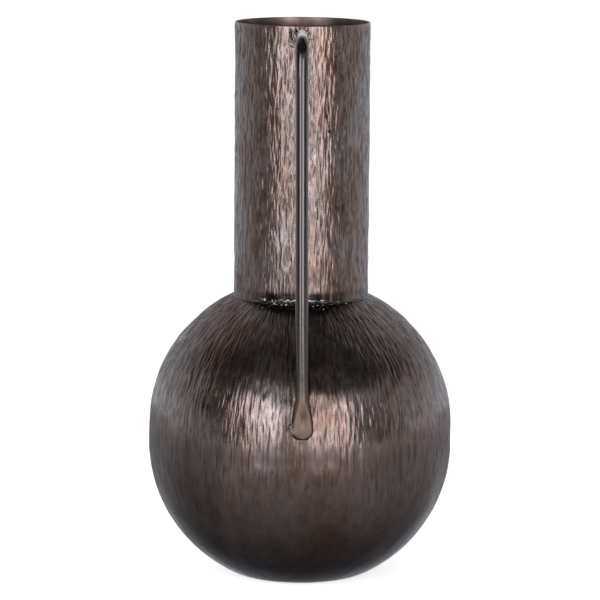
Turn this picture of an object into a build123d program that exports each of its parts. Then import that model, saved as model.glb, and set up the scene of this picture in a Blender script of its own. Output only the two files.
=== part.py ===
# Urn vase: a ball of two spun sheet-metal bowls, a straight tube neck and two forged
# rod handles, welded together. Sizes are in millimetres. +Z is up, and the origin is
# the centre of the base on the table. The handles stand at -Y (front) and +Y (rear).
from build123d import *
import os
from math import acos, cos, degrees, radians, sin, sqrt

os.makedirs("parts", exist_ok=True)

# Sheet metal of the bowls and the neck
sheet = 1.2

# Ball: both bowls are spun to one arc, centred a little off the axis, and meet at the girth
# on short straight skirts
body_radius = 120.0
arc_offset = 5.6
skirt_height = 6.0
girth_weld_height = 2.0

# Base: pressed flat into the lower bowl, with a soft corner
base_flat_radius = 48.5
base_corner_radius = 37.0

# Neck: a tube let into a hole in the upper bowl
vase_height = 440.0
neck_radius = 53.2
neck_insertion = 5.0
neck_hole_clearance = 0.15
rim_rounding = 0.45

# Bead of weld round the foot of the neck
neck_weld_leg = 3.5
neck_weld_reach = 4.5
neck_weld_crown = 0.7

# Handles: round bar that leaves the neck with a slight dip, is bent down over a tight
# radius that eases into the upright leg, and is drawn out to a teardrop at the foot
rod_radius = 5.0
run_drop = 7.0
run_dip_angle = 1.3
leg_inset = 4.0
bend_tight_radius = 11.5
bend_easy_radius = 70.0
bend_easy_angle = 15.0
foot_half_width = 7.7
foot_flare_above_landing = 13.0
foot_widest_below_landing = 12.6
foot_tip_below_landing = 20.5
foot_blunting = 0.6
foot_squareness = 2.6
foot_sections = 8

# Welds that hold each handle
top_weld_half_width = 11.0
top_weld_below_rim = 0.4
top_weld_height = 2.4
top_weld_rounding = 2.2
foot_weld_width = 1.5
foot_weld_height = 1.0

# Places worked out from the sizes above
arc_radius = body_radius - arc_offset
lower_centre_height = sqrt(arc_radius**2 - (base_flat_radius - arc_offset) ** 2)
lower_skirt_top = lower_centre_height + skirt_height
upper_skirt_bottom = lower_skirt_top + girth_weld_height
upper_centre_height = upper_skirt_bottom + skirt_height
base_angle = degrees(acos((base_flat_radius - arc_offset) / arc_radius))
neck_seam_height = upper_centre_height + sqrt(arc_radius**2 - (neck_radius - arc_offset) ** 2)
neck_bottom = neck_seam_height - neck_insertion
run_height = vase_height - run_drop
top_weld_half_height = run_drop - top_weld_below_rim

# Foot of a handle, as heights above the centre of the upper bowl: the bar's centre line
# stands inside the ball's widest radius, and lands on the ball where the two meet
leg_radius = body_radius - leg_inset
landing = sqrt(arc_radius**2 - (leg_radius - arc_offset) ** 2)
foot_root = landing + foot_flare_above_landing
foot_widest = landing - foot_widest_below_landing
foot_tip = landing - foot_tip_below_landing


def ball_radius_at(height):
    """Outside radius of the upper bowl at a height above the centre of its arc."""
    return arc_offset + sqrt(arc_radius**2 - height**2)


def foot_width_at(height):
    """Half the width of a handle's foot at a height above the centre of the upper bowl."""
    if height >= foot_widest:
        share = (foot_root - height) / (foot_root - foot_widest)
        return rod_radius + (foot_half_width - rod_radius) * share**2 * (3 - 2 * share)
    share = (foot_widest - height) / (foot_widest - foot_tip + foot_blunting)
    return foot_half_width * (1 - share**foot_squareness) ** (1 / foot_squareness)


def dome(proud):
    """Solid of the upper bowl's outside shape, grown all round by a height."""
    with BuildPart() as form:
        with BuildSketch(Plane.XZ):
            with BuildLine():
                Polyline(
                    (arc_offset, upper_centre_height + arc_radius + proud),
                    (0, upper_centre_height + arc_radius + proud),
                    (0, upper_skirt_bottom),
                    (body_radius + proud, upper_skirt_bottom),
                    (body_radius + proud, upper_centre_height),
                )
                CenterArc((arc_offset, upper_centre_height), arc_radius + proud, 0, 90)
            make_face()
        revolve(axis=Axis.Z)
    return form.part


upper_outside = dome(0)
foot_weld_limit = dome(foot_weld_height)

# Lower bowl: spun shell with the flat base
with BuildPart() as lower_bowl:
    with BuildSketch(Plane.XZ):
        with BuildLine():
            Polyline(
                (base_flat_radius, 0),
                (0, 0),
                (0, lower_skirt_top),
                (body_radius, lower_skirt_top),
                (body_radius, lower_centre_height),
            )
            CenterArc((arc_offset, lower_centre_height), arc_radius, 0, -base_angle)
        make_face()
    revolve(axis=Axis.Z)
    fillet(lower_bowl.edges().group_by(Axis.Z)[0], base_corner_radius)
    offset(amount=-sheet, openings=lower_bowl.faces().sort_by(Axis.Z)[-1])
lower_bowl.part.label = "lower_bowl"

# Upper bowl: spun dome with the hole for the neck
with BuildPart() as upper_bowl:
    add(upper_outside)
    offset(amount=-sheet, openings=upper_bowl.faces().sort_by(Axis.Z)[0])
    with Locations((0, 0, upper_centre_height + body_radius)):
        Hole(neck_radius + neck_hole_clearance, depth=body_radius)
upper_bowl.part.label = "upper_bowl"

# Girth weld: the ring of weld metal between the skirts, dressed flush inside and out
with BuildPart() as girth_weld:
    with BuildSketch(Plane.XY.offset(lower_skirt_top)):
        Circle(body_radius)
        Circle(body_radius - sheet, mode=Mode.SUBTRACT)
    extrude(amount=girth_weld_height)
girth_weld.part.label = "girth_weld"

# Neck: rolled tube with a rounded rim
with BuildPart() as neck_tube:
    with BuildSketch(Plane.XY.offset(neck_bottom)):
        Circle(neck_radius)
        Circle(neck_radius - sheet, mode=Mode.SUBTRACT)
    extrude(amount=vase_height - neck_bottom)
    fillet(neck_tube.edges().group_by(Axis.Z)[-1], rim_rounding)
neck_tube.part.label = "neck_tube"

# Neck weld: the bead in the corner between the neck and the ball
weld_toe_radius = neck_radius + neck_weld_reach
toe_angle = degrees(acos((weld_toe_radius - arc_offset) / arc_radius))
seam_angle = degrees(acos((neck_radius - arc_offset) / arc_radius))
with BuildPart() as neck_weld:
    with BuildSketch(Plane.XZ):
        with BuildLine():
            seat = CenterArc(
                (arc_offset, upper_centre_height), arc_radius, toe_angle, seam_angle - toe_angle
            )
            wall = Line(seat @ 1, (neck_radius, neck_seam_height + neck_weld_leg))
            SagittaArc(wall @ 1, seat @ 0, neck_weld_crown)
        make_face()
    revolve(axis=Axis.Z)
neck_weld.part.label = "neck_weld"

# Front handle: bar out from inside the neck's wall, round the bend and down to a foot on
# the ball. The bend's reach is how far it carries the bar out from the end of the run
leg_bottom = upper_centre_height + foot_root
run_start = neck_radius - rod_radius
easy_reach = bend_easy_radius * (1 - cos(radians(bend_easy_angle)))
tight_reach = bend_tight_radius * (cos(radians(bend_easy_angle)) - sin(radians(run_dip_angle)))
run_length = (leg_radius - easy_reach - tight_reach - run_start) / cos(radians(run_dip_angle))
with BuildPart() as front_handle:
    with BuildLine(Plane.YZ) as handle_route:
        run = PolarLine((-run_start, run_height), run_length, 180 + run_dip_angle)
        tight_bend = JernArc(
            run @ 1, run % 1, bend_tight_radius, 90 - run_dip_angle - bend_easy_angle
        )
        easy_bend = JernArc(tight_bend @ 1, tight_bend % 1, bend_easy_radius, bend_easy_angle)
        Line(easy_bend @ 1, (-leg_radius, leg_bottom))
    with BuildSketch(handle_route.line ^ 0):
        Circle(rod_radius)
    sweep(path=handle_route.line)
    foot_step = (foot_root - foot_tip) / (foot_sections - 1)
    for section in range(foot_sections):
        height = foot_root - section * foot_step
        seat_radius = max(leg_radius, ball_radius_at(height))
        with BuildSketch(Plane.XY.offset(upper_centre_height + height)):
            with Locations((0, -seat_radius)):
                Ellipse(foot_width_at(height), leg_radius + rod_radius - seat_radius)
    loft()
    add(upper_outside, mode=Mode.SUBTRACT)
    with Locations((0, 0, vase_height)):
        Cylinder(neck_radius, vase_height, mode=Mode.SUBTRACT)
front_handle.part.label = "front_handle"

# Weld round the top end of the front handle, on the neck
with BuildPart() as front_handle_top_weld:
    with BuildSketch(Plane.XZ.offset(neck_radius - top_weld_height)):
        with Locations((0, run_height)):
            SlotOverall(2 * top_weld_half_width, 2 * top_weld_half_height)
    extrude(amount=2 * top_weld_height)
    fillet(front_handle_top_weld.edges().group_by(Axis.Y)[0], top_weld_rounding)
    with Locations((0, 0, vase_height)):
        Cylinder(neck_radius, vase_height, mode=Mode.SUBTRACT)
    add(front_handle.part, mode=Mode.SUBTRACT)
front_handle_top_weld.part.label = "front_handle_top_weld"

# Weld round the foot of the front handle, on the ball
with BuildPart() as front_handle_foot_weld:
    with BuildSketch(Plane.XZ.offset(leg_radius - 2 * rod_radius)):
        with Locations((0, upper_centre_height + foot_tip + foot_half_width)):
            Circle(foot_half_width + foot_weld_width)
        with Locations((0, upper_centre_height + foot_root)):
            Circle(rod_radius)
        make_hull()
    extrude(amount=4 * rod_radius)
    add(foot_weld_limit, mode=Mode.INTERSECT)
    add(upper_outside, mode=Mode.SUBTRACT)
    add(front_handle.part, mode=Mode.SUBTRACT)
front_handle_foot_weld.part.label = "front_handle_foot_weld"

# Rear handle and its welds: the front ones on the other side
with BuildPart() as rear_handle:
    mirror(front_handle.part, about=Plane.XZ)
rear_handle.part.label = "rear_handle"

with BuildPart() as rear_handle_top_weld:
    mirror(front_handle_top_weld.part, about=Plane.XZ)
rear_handle_top_weld.part.label = "rear_handle_top_weld"

with BuildPart() as rear_handle_foot_weld:
    mirror(front_handle_foot_weld.part, about=Plane.XZ)
rear_handle_foot_weld.part.label = "rear_handle_foot_weld"

pieces = (
    lower_bowl,
    upper_bowl,
    girth_weld,
    neck_tube,
    neck_weld,
    front_handle,
    front_handle_top_weld,
    front_handle_foot_weld,
    rear_handle,
    rear_handle_top_weld,
    rear_handle_foot_weld,
)
for piece in pieces:
    export_step(piece.part, f"parts/{piece.part.label}.step")
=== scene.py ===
import math

import bpy
import numpy as np
from mathutils import Matrix, Vector


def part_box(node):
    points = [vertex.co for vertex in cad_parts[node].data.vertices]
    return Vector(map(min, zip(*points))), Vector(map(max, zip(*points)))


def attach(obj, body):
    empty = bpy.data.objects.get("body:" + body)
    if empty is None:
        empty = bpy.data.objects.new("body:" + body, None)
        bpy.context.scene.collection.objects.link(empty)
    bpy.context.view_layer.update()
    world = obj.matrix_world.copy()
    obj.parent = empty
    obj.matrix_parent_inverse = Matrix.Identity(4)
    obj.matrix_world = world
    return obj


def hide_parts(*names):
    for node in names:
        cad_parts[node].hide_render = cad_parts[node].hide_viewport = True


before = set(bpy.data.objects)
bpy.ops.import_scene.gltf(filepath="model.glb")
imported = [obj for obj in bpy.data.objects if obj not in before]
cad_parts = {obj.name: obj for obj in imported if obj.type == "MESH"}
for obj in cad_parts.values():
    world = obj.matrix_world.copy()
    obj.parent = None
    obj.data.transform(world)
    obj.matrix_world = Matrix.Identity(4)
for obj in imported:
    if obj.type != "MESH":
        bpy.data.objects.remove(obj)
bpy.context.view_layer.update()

MM = 0.001

bl_info = {
    "name": "Urn vase",
    "version": (1, 0, 0),
    "blender": (4, 5, 0),
    "location": "View3D > Sidebar > Urn vase",
    "description": "Hand-chased metal urn vase with welded bar handles, and its studio",
    "category": "Add Mesh",
}

NECK_LOW, NECK_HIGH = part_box("neck_tube")
LOWER_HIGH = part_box("lower_bowl")[1]
UPPER_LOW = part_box("upper_bowl")[0]

# fineness of the meshes
NECK_COLUMNS = 760
NECK_ROWS = 112
BALL_COLUMNS = 1640
BALL_ROWS = 48
HANDLE_SIDES = 40
BEND_STEPS = 18
BAR_STEP = 2.2 * MM
FOOT_STEP = 0.9 * MM

# single chisel cuts on the neck and on the ball
NECK_CUTS = 5600
BALL_CUTS = 14000
# broad and small hammered waves
HAMMER_BROAD = 30 * MM
HAMMER_SMALL = 13 * MM
# chased ridges, like bark: coarse and fine ones, each as wide and as long as given here
BARK_CELL = np.array([3.0, 3.0, 12.0]) * MM
FINE_BARK_CELL = np.array([1.4, 1.4, 6.0]) * MM
# strokes wander sideways by this much, over stretches of this size
WANDER = 0.9 * MM
WANDER_CELL = np.array([6.0, 6.0, 9.0]) * MM
# how brown the clouds on the plate are
CLOUD_WARMTH = 0.85
# the ball's chisel strokes keep their width along a meridian, as at this distance from the axis
BALL_GRAIN_RADIUS = 95 * MM
# strokes straighten towards the girth from this distance above and below it, so that they cross it whole
GIRTH_EASE = 10 * MM
# painted shade: how dark the ball's plate is made, by distance along the sheet from the girth, nearly black
# at the base, standing in for the shadowed floor that the lower ball mirrors; just above the girth it is
# made lighter
PAINTED_SHADE_HEIGHTS = np.array([-135, -103, -78, -57, -39, -22, 0, 12, 45, 65]) * MM
PAINTED_SHADE_TONES = (0.07, 0.1, 0.17, 0.29, 0.42, 0.53, 0.66, 0.96, 1.12, 0.95)
# how deep the ball is chased, in the same way
DEPTH_HEIGHTS = np.array([-140, -100, -50, 0, 100, 140]) * MM
DEPTHS = (0.0, 0.1, 0.22, 0.68, 1.0, 0.9)
# painted shade of a single punched pit on the neck, right of the front handle: a dark spot in the plate's
# colour, with no pit in the mesh
PIT_AZIMUTH = math.radians(22.9)
PIT_HEIGHT = 0.3585
PIT_RADIUS = 1.25 * MM

# gap between the neck and the edge of its hole in the upper bowl
HOLE_CLEARANCE = 0.15 * MM

# foot of a handle, above the centre of the upper bowl's arc
FOOT_ROOT_ABOVE = 43.0 * MM
FOOT_WIDEST_ABOVE = 17.4 * MM
FOOT_TIP_ABOVE = 10.0 * MM
FOOT_SQUARENESS = 2.6
# one dent the size of a thumb on the foot, right of its middle
THUMB_ASIDE = 1.6 * MM
THUMB_ABOVE = 25.5 * MM
THUMB_HALF_WIDTH = 3.0 * MM
THUMB_HALF_LENGTH = 6.4 * MM
THUMB_DEPTH = 1.6 * MM
# how far the front bar stands aside of the vase's axis, at heights from the foot to the neck
BAR_HEIGHTS = (0.14, 0.18, 0.22, 0.43)
BAR_ASIDE = (1.9 * MM, 1.3 * MM, 0.75 * MM, -0.55 * MM)

WHITE = (1.0, 1.0, 1.0, 1.0)
FRAME_PIXELS = 600
CAMERA_SENSOR_MM = 36.0


def linear(hex_colour):
    """Linear RGBA of an sRGB hex colour."""
    channels = [int(hex_colour[i:i + 2], 16) / 255 for i in (1, 3, 5)]
    return [c / 12.92 if c <= 0.04045 else ((c + 0.055) / 1.055) ** 2.4 for c in channels] + [1.0]


def length(name, description, default):
    """A length setting, in metres."""
    return bpy.props.FloatProperty(
        name=name, description=description, default=default, unit="LENGTH", precision=4)


def angle(name, description, degrees):
    """An angle setting, given in degrees."""
    return bpy.props.FloatProperty(
        name=name, description=description, default=math.radians(degrees), subtype="ANGLE")


def colour(name, description, hex_colour):
    """A colour setting, given as sRGB hex."""
    return bpy.props.FloatVectorProperty(
        name=name, description=description, default=linear(hex_colour), size=4,
        subtype="COLOR", min=0, max=1)


class UrnSizes(bpy.types.PropertyGroup):
    """Sizes of the vase: those of the solids, but for the drop and the dip of the bars."""
    body_radius: length("Ball radius", "Outside of both bowls", 0.120)
    arc_offset: length("Arc offset", "Centre of each bowl's arc, off the axis", 0.0056)
    base_corner: length("Base corner", "Rounding between the base and the ball", 0.037)
    skirt: length("Skirt", "Straight edge of each bowl next to the girth weld", 0.006)
    sheet: length("Sheet", "Thickness of the bowls and the neck", 0.0012)
    neck_radius: length("Neck radius", "Outside of the neck", 0.0532)
    rim_rounding: length("Rim rounding", "Rounding of the rim's two edges", 0.00045)
    bar_radius: length("Bar radius", "Half the thickness of the handle's bar", 0.005)
    bar_drop: length("Bar drop", "Centre line of the front bar below the rim, at the neck", 0.0062)
    rear_drop: length("Rear drop", "The same for the rear bar, which hides behind the rim", 0.0072)
    bar_dip: angle("Bar dip", "Fall of the bar on its way out from the neck", 2.0)
    bend_tight: length("Tight bend", "Centre-line radius where the bar turns down", 0.0115)
    bend_easy: length("Easy bend", "Centre-line radius that leads on into the leg", 0.070)
    bend_easy_angle: angle("Easy angle", "Part of the turn that the easy bend makes", 15.0)
    leg_inset: length("Leg inset", "Centre line of the leg inside the ball's widest radius", 0.004)
    foot_half_width: length("Foot half width", "Half the width of the forged foot", 0.0077)


class UrnFinish(bpy.types.PropertyGroup):
    """Colours and relief of the metal."""
    plate_ridge: colour("Plate ridge", "Copper plate where it is rubbed, on the ridges", "#6d625f")
    plate_recess: colour("Plate recess", "Darkened plate in the chisel cuts", "#4a4240")
    plate_brown: colour("Plate brown", "Warm cast that clouds lay over the plate", "#e0c2b0")
    plate_edge: colour("Plate edge", "Gleam of the plate at grazing angles", "#e5e6ec")
    shade_and_soot_edge: colour("Patina edge", "The same where the patina is black", "#bcbcbf")
    inner_wash: colour("Inside", "Thin copper wash inside the neck and the ball", "#836f69")
    bar_steel: colour("Bar", "Darkened steel of the handles", "#3f3a39")
    bar_foot: colour("Bar foot", "Brown scale on the forged foot", "#594a41")
    weld_grey: colour("Weld grey", "Weld metal brushed clean", "#8a8482")
    weld_black: colour("Weld black", "Weld metal under soot", "#231f1d")
    neck_hammer: length("Neck hammering", "Height of the broad hammered waves of the neck", 0.00035)
    ball_hammer: length("Ball hammering", "Height of the broad hammered waves of the ball", 0.00055)
    bark_depth: length("Bark depth", "Height of the chased ridges", 0.0003)
    cut_depth: length("Cut depth", "Deepest single chisel cut", 0.00036)


class UrnStudio(bpy.types.PropertyGroup):
    """Camera and light."""
    camera_distance: length("Camera distance", "From the vase's axis", 2.8)
    camera_height: length("Camera height", "Above the table", 0.63908)
    camera_aside: length("Camera aside", "Right of the vase's axis", -0.00071)
    camera_pitch: angle("Camera pitch", "Tilt below level", 8.528)
    camera_roll: angle("Camera roll", "Turn about the view axis", 0.42)
    focal_pixels: bpy.props.FloatProperty(
        name="Focal length", description="In pixels of a frame 600 pixels wide", default=3569.8)
    softbox_power: bpy.props.FloatProperty(
        name="Softbox power", description="Watts for each square metre of softbox", default=23.3)
    floor: colour("Floor", "Pale matte floor", "#e7e7e7")
    reflector: colour("Reflector", "Cool tint of the reflectors at the sides", "#effaff")


def arc_radius(sizes):
    """Radius of the arc that both bowls are spun to."""
    return sizes.body_radius - sizes.arc_offset


def upper_centre(sizes):
    """Height of the centre of the upper bowl's arc."""
    return UPPER_LOW.z + sizes.skirt


def ball_reach(above, sizes):
    """Outside radius of the upper bowl, at heights above the centre of its arc."""
    return sizes.arc_offset + np.sqrt(np.clip(arc_radius(sizes) ** 2 - np.square(above), 0, None))


def seam_above(sizes):
    """Height at which the neck meets the ball, above the centre of the upper bowl's arc."""
    return math.sqrt(arc_radius(sizes) ** 2 - (sizes.neck_radius - sizes.arc_offset) ** 2)


def weld_roughness(places):
    """1 in front and at the back, where the neck's weld is rough, and 0 at the sides."""
    radial = np.maximum(np.hypot(places[:, 0], places[:, 1]), MM)
    return np.clip((np.abs(places[:, 1]) / radial - 0.7) / 0.2, 0, 1)


def leg_radius(sizes):
    """Distance of the leg's centre line from the vase's axis."""
    return sizes.body_radius - sizes.leg_inset


def foot_width(above, sizes):
    """Half the width of the forged foot, at heights above the centre of the upper bowl's arc."""
    flare = np.clip((FOOT_ROOT_ABOVE - above) / (FOOT_ROOT_ABOVE - FOOT_WIDEST_ABOVE), 0, 1)
    spread = sizes.bar_radius + (sizes.foot_half_width - sizes.bar_radius) * flare ** 2 * (3 - 2 * flare)
    tip = np.clip((FOOT_WIDEST_ABOVE - above) / (FOOT_WIDEST_ABOVE - FOOT_TIP_ABOVE), 0, 0.999)
    return spread * (1 - tip ** FOOT_SQUARENESS) ** (1 / FOOT_SQUARENESS)


def on_neck(sizes, across, height, proud):
    """A point on the front of the neck, across from its middle, standing proud of it."""
    azimuth = across / sizes.neck_radius
    r = sizes.neck_radius + proud
    return (r * math.sin(azimuth), -r * math.cos(azimuth), height)


def on_ball(sizes, azimuth, above, proud):
    """A point on the upper bowl, by azimuth from the front and height above the centre of its arc."""
    share = 1 + proud / sizes.body_radius
    r = float(ball_reach(above, sizes)) * share
    return (r * math.sin(azimuth), -r * math.cos(azimuth), upper_centre(sizes) + above * share)


def add_node(tree, kind, inputs=None, stops=(), **settings):
    """Add a node with its settings.

    An input is given a value, or the output that it is linked to. A colour ramp is given its two stops,
    each (position, colour)."""
    made = tree.nodes.new(kind)
    for name, value in settings.items():
        setattr(made, name, value)
    for key, value in (inputs or {}).items():
        if isinstance(value, bpy.types.NodeSocket):
            tree.links.new(value, made.inputs[key])
        else:
            made.inputs[key].default_value = value
    for index, (position, value) in enumerate(stops):
        made.color_ramp.elements[index].position = position
        made.color_ramp.elements[index].color = value
    return made


def new_material(name):
    """An empty material, with its output node."""
    material = bpy.data.materials.new(name)
    material.use_nodes = True
    material.node_tree.nodes.clear()
    return material, material.node_tree, material.node_tree.nodes.new("ShaderNodeOutputMaterial")


def grain_noise(tree, place, size, detail=3.0, roughness=0.6, distortion=0.0):
    """Noise whose cells have the given size, in metres along each axis."""
    scaled = add_node(tree, "ShaderNodeMapping", {"Vector": place, "Scale": [1 / axis for axis in size]})
    return add_node(tree, "ShaderNodeTexNoise", {
        "Vector": scaled.outputs[0], "Scale": 1.0, "Detail": detail, "Roughness": roughness,
        "Distortion": distortion}).outputs["Fac"]


def chased_plate(finish):
    """Sheet steel, copper plated, chased all over with a chisel, then darkened and rubbed back.

    The eye sees near-black brown in the cuts, a coppery gleam on the ridges, clouds of warmer brown,
    and a satin reflection that breaks into streaks along the cuts."""
    material, tree, out = new_material("chased_copper_plate")
    sizes = bpy.context.scene.urn_sizes
    grain = add_node(tree, "ShaderNodeAttribute", attribute_name="grain").outputs["Vector"]
    wear = add_node(tree, "ShaderNodeAttribute", attribute_name="wear").outputs["Fac"]
    tone = add_node(tree, "ShaderNodeAttribute", attribute_name="tone").outputs["Fac"]
    chased = add_node(tree, "ShaderNodeAttribute", attribute_name="chased").outputs["Fac"]
    spot = add_node(tree, "ShaderNodeTexCoord").outputs["Object"]
    # chisel marks as fine as the render can show, runs of darker patina, clouds of it, and smudges
    streaks = grain_noise(tree, grain, (0.8 * MM, 0.8 * MM, 7 * MM), distortion=0.35)
    runs = grain_noise(tree, grain, (4 * MM, 4 * MM, 40 * MM), detail=2.0, roughness=0.5)
    clouds = grain_noise(tree, spot, (38 * MM, 38 * MM, 55 * MM), detail=4.0)
    smudges = grain_noise(tree, spot, (7 * MM, 7 * MM, 9 * MM))
    # where the sheet is chased the colour follows the strokes; elsewhere it lies in blotches
    scored = add_node(tree, "ShaderNodeMath", {0: streaks, 1: 0.2, 2: -0.035}, operation="MULTIPLY_ADD")
    fine = add_node(tree, "ShaderNodeMath", {
        0: runs, 1: 0.14, 2: scored.outputs[0]}, operation="MULTIPLY_ADD")
    blotches = add_node(tree, "ShaderNodeMath", {0: smudges, 1: 0.5, 2: -0.115}, operation="MULTIPLY_ADD")
    # in number mode this node's factor, values and result are sockets 0, 2, 3 and output 0
    grainy = add_node(tree, "ShaderNodeMix", {0: chased, 2: blotches.outputs[0], 3: fine.outputs[0]})
    rubbed_and_painted_shade = add_node(tree, "ShaderNodeMath", {
        0: wear, 1: 0.5, 2: grainy.outputs[0]}, operation="MULTIPLY_ADD")
    plate = add_node(tree, "ShaderNodeValToRGB", {"Fac": rubbed_and_painted_shade.outputs[0]}, stops=(
        (0.18, finish.plate_recess), (0.56, finish.plate_ridge)))
    brown_share = add_node(tree, "ShaderNodeMapRange", {
        "Value": clouds, "From Min": 0.38, "From Max": 0.68, "To Min": 0.0, "To Max": CLOUD_WARMTH})
    # in colour mode this node's factor, colours and result are sockets 0, 6, 7 and output 2
    tinted = add_node(tree, "ShaderNodeMix", {
        0: brown_share.outputs[0], 6: plate.outputs["Color"], 7: finish.plate_brown},
        data_type="RGBA", blend_type="MULTIPLY")
    # painted shade: the plate is darkened in a small spot where the pit is
    pit = on_neck(sizes, PIT_AZIMUTH * sizes.neck_radius, PIT_HEIGHT, 0.0)
    from_pit = add_node(tree, "ShaderNodeVectorMath", {0: spot, 1: pit}, operation="DISTANCE")
    pit_shade = add_node(tree, "ShaderNodeMapRange", {
        "Value": from_pit.outputs["Value"], "From Min": 0.6 * PIT_RADIUS, "From Max": 1.5 * PIT_RADIUS,
        "To Min": 0.1, "To Max": 1.0})
    # painted shade: the plate's colour is multiplied by the stored tone, which holds painted shade and soot,
    # and by the pit's painted dark spot
    depth = add_node(tree, "ShaderNodeMath", {0: tone, 1: pit_shade.outputs[0]}, operation="MULTIPLY")
    plate_with_painted_shade = add_node(tree, "ShaderNodeMix", {
        0: 1.0, 6: tinted.outputs[2], 7: depth.outputs[0]}, data_type="RGBA", blend_type="MULTIPLY")
    gloss = add_node(tree, "ShaderNodeMapRange", {
        "Value": smudges, "From Min": 0.3, "From Max": 0.7, "To Min": 0.19, "To Max": 0.3})
    scoring = add_node(tree, "ShaderNodeMath", {0: chased, 1: 0.5}, operation="MULTIPLY")
    bump = add_node(tree, "ShaderNodeBump", {
        "Height": streaks, "Strength": scoring.outputs[0], "Distance": 0.3 * MM})
    # where the plate is darkened, by soot and painted shade, the gleam at grazing angles is dulled too
    edge = add_node(tree, "ShaderNodeValToRGB", {"Fac": depth.outputs[0]}, stops=(
        (0.0, finish.shade_and_soot_edge), (0.6, finish.plate_edge)))
    metal = add_node(tree, "ShaderNodeBsdfPrincipled", {
        "Base Color": plate_with_painted_shade.outputs[2], "Specular Tint": edge.outputs["Color"], "Metallic": 1.0,
        "Roughness": gloss.outputs[0], "Normal": bump.outputs[0]})
    tree.links.new(metal.outputs[0], out.inputs["Surface"])
    return material


def copper_wash(finish):
    """The inside of the vase: thin copper wash over plain sheet, brown and satin, with stains."""
    material, tree, out = new_material("thin_copper_wash")
    spot = add_node(tree, "ShaderNodeTexCoord").outputs["Object"]
    stains = grain_noise(tree, spot, (12 * MM, 12 * MM, 12 * MM), detail=4.0)
    dark = [c * 0.45 for c in finish.inner_wash[:3]] + [1.0]
    wash = add_node(tree, "ShaderNodeValToRGB", {"Fac": stains}, stops=(
        (0.3, dark), (0.65, finish.inner_wash)))
    # painted light and shade: the wash is lighter just under the rim and darker deeper inside, where the
    # inside lies in shade
    height = add_node(tree, "ShaderNodeSeparateXYZ", {0: spot}).outputs["Z"]
    rubbed_and_painted_shade = add_node(tree, "ShaderNodeMapRange", {
        "Value": height, "From Min": NECK_HIGH.z - 7 * MM, "From Max": NECK_HIGH.z - 1 * MM,
        "To Min": 0.45, "To Max": 1.3})
    shaded = add_node(tree, "ShaderNodeMix", {
        0: 1.0, 6: wash.outputs["Color"], 7: rubbed_and_painted_shade.outputs[0]}, data_type="RGBA", blend_type="MULTIPLY")
    metal = add_node(tree, "ShaderNodeBsdfPrincipled", {
        "Base Color": shaded.outputs[2], "Metallic": 1.0, "Roughness": 0.42})
    tree.links.new(metal.outputs[0], out.inputs["Surface"])
    return material


def forged_bar(finish):
    """Round steel bar, filed, darkened and waxed: smooth gunmetal with long straight gleams, and a matte
    brown scale on the foot, where it was heated and hammered flat."""
    material, tree, out = new_material("forged_steel_bar")
    scale = add_node(tree, "ShaderNodeAttribute", attribute_name="fire_scale").outputs["Fac"]
    shade = add_node(tree, "ShaderNodeAttribute", attribute_name="shade").outputs["Fac"]
    spot = add_node(tree, "ShaderNodeTexCoord").outputs["Object"]
    patches = grain_noise(tree, spot, (5 * MM, 5 * MM, 5 * MM), detail=4.0)
    patchy = add_node(tree, "ShaderNodeMath", {0: scale, 1: patches}, operation="MULTIPLY")
    share = add_node(tree, "ShaderNodeMath", {
        0: patchy.outputs[0], 1: 1.9}, operation="MULTIPLY", use_clamp=True).outputs[0]
    steel = add_node(tree, "ShaderNodeValToRGB", {"Fac": share}, stops=(
        (0.0, finish.bar_steel), (1.0, finish.bar_foot)))
    shaded = add_node(tree, "ShaderNodeMix", {
        0: 1.0, 6: steel.outputs["Color"], 7: shade}, data_type="RGBA", blend_type="MULTIPLY")
    gloss = add_node(tree, "ShaderNodeMapRange", {
        "Value": share, "From Min": 0.0, "From Max": 1.0, "To Min": 0.16, "To Max": 0.5})
    bump = add_node(tree, "ShaderNodeBump", {"Height": patches, "Strength": 0.15, "Distance": 0.4 * MM})
    metal = add_node(tree, "ShaderNodeBsdfPrincipled", {
        "Base Color": shaded.outputs[2], "Metallic": 1.0, "Roughness": gloss.outputs[0],
        "Normal": bump.outputs[0]})
    tree.links.new(metal.outputs[0], out.inputs["Surface"])
    return material


def weld_metal(finish):
    """Weld metal: glossy lumps that catch small bright glints, grey where they were brushed, and matte
    black under soot."""
    material, tree, out = new_material("weld_metal")
    spot = add_node(tree, "ShaderNodeTexCoord").outputs["Object"]
    soot = add_node(tree, "ShaderNodeAttribute", attribute_name="soot").outputs["Fac"]
    slag = grain_noise(tree, spot, (1.5 * MM, 1.5 * MM, 1.5 * MM))
    tint = add_node(tree, "ShaderNodeValToRGB", {"Fac": soot}, stops=(
        (0.0, finish.weld_grey), (1.0, finish.weld_black)))
    gloss = add_node(tree, "ShaderNodeMapRange", {
        "Value": soot, "From Min": 0.0, "From Max": 1.0, "To Min": 0.22, "To Max": 0.55})
    bump = add_node(tree, "ShaderNodeBump", {"Height": slag, "Strength": 0.2, "Distance": 0.4 * MM})
    metal = add_node(tree, "ShaderNodeBsdfPrincipled", {
        "Base Color": tint.outputs["Color"], "Metallic": 1.0, "Roughness": gloss.outputs[0],
        "Normal": bump.outputs[0]})
    tree.links.new(metal.outputs[0], out.inputs["Surface"])
    return material


def material_named(name, maker):
    """The finished material, made on first use."""
    return bpy.data.materials.get(name) or maker(bpy.context.scene.urn_finish)


def clear_selection():
    """Leave edit mode with nothing selected."""
    if bpy.context.mode != "OBJECT":
        bpy.ops.object.mode_set(mode="OBJECT")
    bpy.ops.object.select_all(action="DESELECT")


def hand_over(piece, slot, *nodes):
    """Tie a finished piece to the frame: its body and the nodes that it stands for, which are hidden. The
    slot argument is not used.
    """
    clear_selection()
    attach(piece, "root")
    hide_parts(*nodes)


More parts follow.
